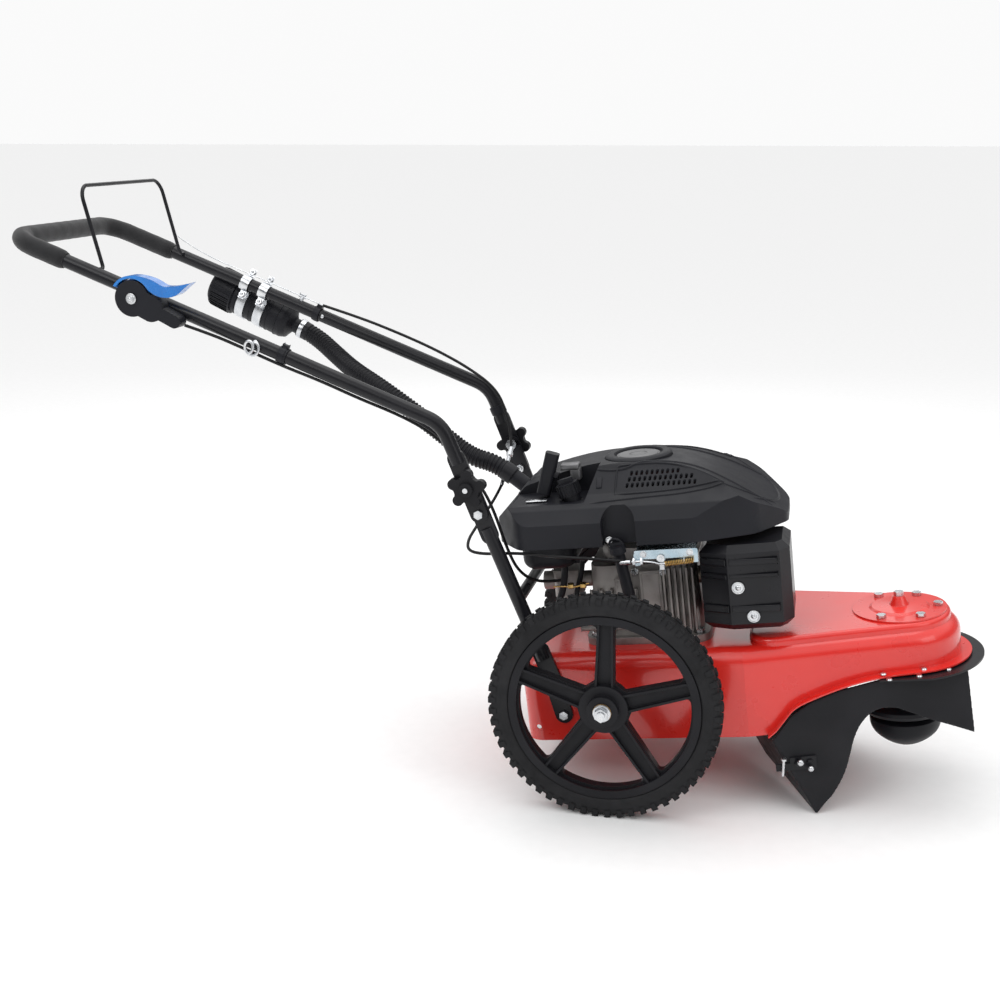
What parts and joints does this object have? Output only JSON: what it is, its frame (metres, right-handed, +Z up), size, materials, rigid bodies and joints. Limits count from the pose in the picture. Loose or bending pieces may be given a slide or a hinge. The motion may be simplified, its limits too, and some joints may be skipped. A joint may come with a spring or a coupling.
{
  "type": "wheeled string trimmer",
  "caption": "Walk-behind petrol string trimmer with large treaded wheels, a pressed steel deck, a belt-driven cutting head, a folding handle with bail and throttle, and a remote air filter.",
  "frame": {"origin": "on the floor, under the middle of the bounding box", "axes": "+X forwards to the cutting head, +Y to the machine's left, +Z up"},
  "size_m": [1.5471, 0.529, 0.9357],
  "materials": {
    "red_paint": "gloss",
    "black_paint": "satin",
    "black_plastic": "satin",
    "wheel_plastic": "moulded",
    "knob_plastic": "moulded",
    "grey_plastic": "satin",
    "blue_plastic": "gloss",
    "tyre_rubber": "treaded",
    "flap_rubber": "matte",
    "hose_rubber": "corrugated",
    "belt_rubber": "matte",
    "grip_foam": "foam",
    "cable_jacket": "satin",
    "zinc_steel": "zinc plated",
    "machined_steel": "machined",
    "muffler_steel": "heat stained",
    "cast_aluminium": "cast",
    "cast_iron": "cast",
    "spring_brass": "satin",
    "bronze": "sintered"
  },
  "bodies": {
    "chassis": {"deck_pan": "red_paint", "spindle_cover": "red_paint", "guard_plate": "black_paint", "debris_flap": "flap_rubber", "flap_rivets": "zinc_steel", "line_cutter": "black_paint", "axle": "zinc_steel", "axle_spacers": "zinc_steel", "axle_washers": "zinc_steel", "axle_nuts": "zinc_steel", "spindle_housing": "cast_aluminium", "spindle_bearings": "machined_steel", "drive_belt": "belt_rubber", "lower_frame": "black_paint", "chassis_bolts": "zinc_steel", "pivot_bolts": "zinc_steel", "engine_block": "cast_aluminium", "engine_cowl": "black_plastic", "starter_cover": "grey_plastic", "fuel_tank": "black_plastic", "oil_filler_tube": "black_plastic", "muffler": "muffler_steel", "muffler_guard": "black_paint", "carburettor": "cast_aluminium", "brake_bracket": "zinc_steel", "brake_spring": "spring_brass", "intake_hose": "hose_rubber", "brake_cable": "cable_jacket", "throttle_cable": "cable_jacket"},
    "right_wheel": {"right_tyre": "tyre_rubber", "right_rim": "wheel_plastic", "right_wheel_bushes": "bronze"},
    "left_wheel": {"left_tyre": "tyre_rubber", "left_rim": "wheel_plastic", "left_wheel_bushes": "bronze"},
    "crank": {"crankshaft": "machined_steel", "crank_pulley": "machined_steel", "flywheel": "cast_iron"},
    "spindle": {"spindle_shaft": "machined_steel", "spindle_pulley": "machined_steel", "trimmer_head": "black_plastic", "glide_cup": "black_plastic"},
    "handle": {"upper_handle": "black_paint", "grip": "grip_foam", "knob_bolts": "zinc_steel", "throttle_housing": "black_plastic", "filter_body": "black_plastic", "filter_cap": "black_plastic", "filter_clamps": "zinc_steel", "cable_clips": "black_plastic", "rope_guide": "zinc_steel"},
    "bail": {"bail": "black_paint"},
    "throttle_lever": {"throttle_lever": "blue_plastic"},
    "right_star_knob": {"right_star_knob": "knob_plastic"},
    "left_star_knob": {"left_star_knob": "knob_plastic"},
    "starter_grip": {"starter_grip": "black_plastic"},
    "fuel_cap": {"fuel_cap": "black_plastic"},
    "dipstick": {"dipstick": "black_plastic"},
    "brake_lever": {"brake_lever": "zinc_steel"}
  },
  "joints": [
    {"name": "right_wheel_spin", "type": "hinge", "parent": "chassis", "child": "right_wheel", "pos_m": [0.2099, -0.222, 0.178], "axis": [0, 1, 0], "continuous": true},
    {"name": "left_wheel_spin", "type": "hinge", "parent": "chassis", "child": "left_wheel", "pos_m": [0.2099, 0.222, 0.178], "axis": [0, 1, 0], "continuous": true},
    {"name": "crank_spin", "type": "hinge", "parent": "chassis", "child": "crank", "pos_m": [0.26449, 0, 0.1847], "axis": [-0.1219, 0, 0.9925], "continuous": true},
    {"name": "spindle_spin", "type": "hinge", "parent": "chassis", "child": "spindle", "pos_m": [0.6486, 0, 0.23187], "axis": [-0.1219, 0, 0.9925], "continuous": true},
    {"name": "handle_fold", "type": "hinge", "parent": "chassis", "child": "handle", "pos_m": [-0.0004, 0, 0.4472], "axis": [0, 1, 0], "range_deg": [0, 110], "deforming": ["intake_hose", "brake_cable", "throttle_cable"]},
    {"name": "bail_squeeze", "type": "hinge", "parent": "handle", "child": "bail", "pos_m": [-0.6146, 0, 0.8055], "axis": [0, 1, 0], "range_deg": [-52, 0], "stiffness_Nm_per_rad": 1, "springref_deg": 17.19},
    {"name": "throttle_turn", "type": "hinge", "parent": "handle", "child": "throttle_lever", "pos_m": [-0.5411, -0.178, 0.7665], "axis": [0, 1, 0], "range_deg": [-55, 0]},
    {"name": "right_knob_turn", "type": "hinge", "parent": "handle", "child": "right_star_knob", "pos_m": [-0.0166, -0.168, 0.4889], "axis": [0, 1, 0], "range_deg": [0, 720]},
    {"name": "left_knob_turn", "type": "hinge", "parent": "handle", "child": "left_star_knob", "pos_m": [-0.0166, 0.168, 0.4889], "axis": [0, -1, 0], "range_deg": [0, 720]},
    {"name": "starter_pull", "type": "slide", "parent": "chassis", "child": "starter_grip", "axis": [-0.9588, 0, 0.284], "range_m": [0, 0.5], "stiffness_N_per_m": 20, "springref_m": -0.3},
    {"name": "fuel_cap_turn", "type": "hinge", "parent": "chassis", "child": "fuel_cap", "pos_m": [0.13003, -0.088, 0.46742], "axis": [-0.359, 0, 0.9334], "range_deg": [0, 90]},
    {"name": "dipstick_turn", "type": "hinge", "parent": "chassis", "child": "dipstick", "pos_m": [0.2136, -0.136, 0.39406], "axis": [-0.2354, -0.1161, 0.9649], "range_deg": [0, 90]},
    {"name": "brake_lever_swing", "type": "hinge", "parent": "chassis", "child": "brake_lever", "pos_m": [0.27996, -0.15, 0.39516], "axis": [0, 1, 0], "range_deg": [0, 20], "deforming": ["brake_spring"]}
  ],
  "couplings": [
    {"joint": "spindle_spin", "follows": "crank_spin", "ratio": 0.7555},
    {"joint": "brake_lever_swing", "follows": "bail_squeeze", "ratio": -0.35}
  ]
}
